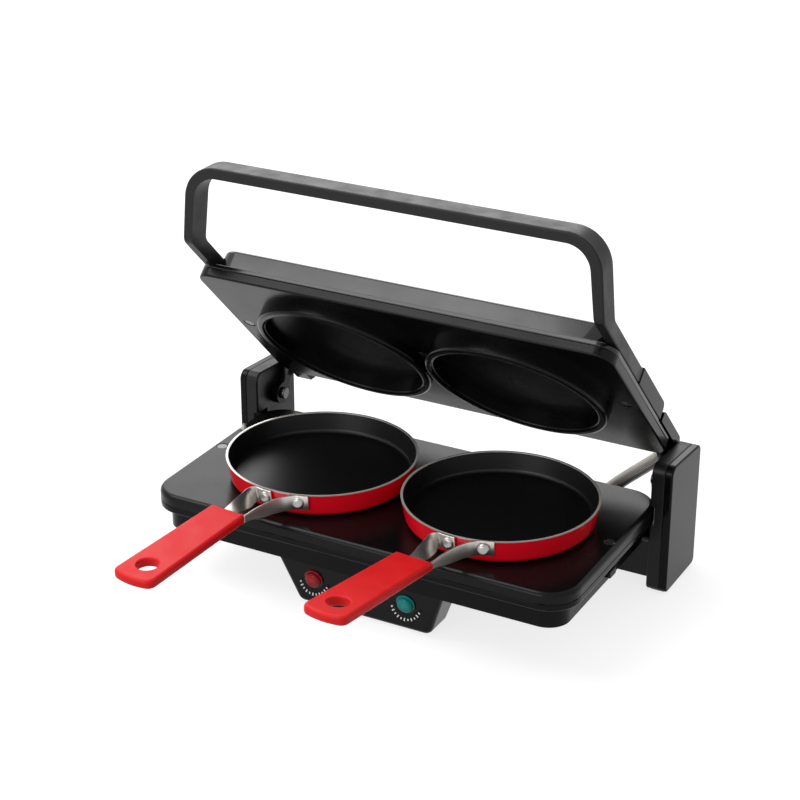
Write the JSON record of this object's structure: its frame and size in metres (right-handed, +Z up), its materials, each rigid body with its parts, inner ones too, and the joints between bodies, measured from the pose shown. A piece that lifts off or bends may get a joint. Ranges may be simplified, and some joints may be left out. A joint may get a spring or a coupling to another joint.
{
  "type": "contact grill",
  "caption": "Countertop contact grill with a hinged upper plate held open, a bow handle, and removable round pans with strap handles on its flat lower plate.",
  "frame": {"origin": "on the table, below the middle of the whole grill as it stands with its pans", "axes": "+X to the user's right across the plates, +Y to the back, +Z up"},
  "size_m": [0.3316, 0.3193, 0.2769],
  "materials": {
    "coated_casting": "satin",
    "black_plastic": "gloss",
    "black_satin_plastic": "satin",
    "black_rubber": "matt",
    "screw_steel": "plain",
    "red_lens": "gloss",
    "green_lens": "gloss",
    "socket_plastic": "matt",
    "element_tube": "matt",
    "sheet_steel": "plain",
    "braid": "braided",
    "red_enamel": "gloss",
    "strap_steel": "brushed",
    "red_silicone": "matt"
  },
  "bodies": {
    "base": {"lower_plate": "coated_casting", "base_housing": "black_plastic", "bottom_cover": "black_satin_plastic", "control_foot": "black_plastic", "foot_pads": "black_rubber", "post_left_inner": "black_satin_plastic", "post_left_outer": "black_plastic", "post_right_inner": "black_satin_plastic", "post_right_outer": "black_plastic", "post_pads": "black_rubber", "hinge_pins": "screw_steel", "rear_housing": "black_satin_plastic", "rear_cover": "black_satin_plastic", "bottom_screws": "screw_steel", "lamp_red": "red_lens", "lamp_green": "green_lens", "lamp_sockets": "socket_plastic", "lower_element": "element_tube", "lower_shield": "sheet_steel", "thermostat": "sheet_steel", "terminal_block": "socket_plastic", "lower_plate_screws": "screw_steel", "side_clips": "black_satin_plastic", "plate_lug": "screw_steel", "conduit": "braid", "gland_lower": "black_satin_plastic", "gland_upper": "black_satin_plastic", "cord_inlet": "black_rubber"},
    "lid": {"lid_plate": "coated_casting", "lid_cover": "black_plastic", "upper_element": "element_tube", "upper_shield": "sheet_steel", "upper_plate_screws": "screw_steel", "ear_left": "black_plastic", "ear_right": "black_plastic", "bracket_left": "black_plastic", "bracket_right": "black_plastic", "handle": "black_plastic"},
    "left_pan": {"pan_left": "red_enamel", "strap_left": "strap_steel", "rivets_left": "screw_steel", "grip_left": "red_silicone"},
    "right_pan": {"pan_right": "red_enamel", "strap_right": "strap_steel", "rivets_right": "screw_steel", "grip_right": "red_silicone"}
  },
  "joints": [
    {"name": "lid_hinge", "type": "hinge", "parent": "base", "child": "lid", "pos_m": [0, 0.1248, 0.071], "axis": [-1, 0, 0], "range_deg": [-45.5, 0]},
    {"name": "left_pan_slide", "type": "slide", "parent": "base", "child": "left_pan", "axis": [-0.0976, -0.9952, 0], "range_m": [0, 0.16]},
    {"name": "right_pan_slide", "type": "slide", "parent": "base", "child": "right_pan", "axis": [-0.0976, -0.9952, 0], "range_m": [0, 0.16]}
  ]
}
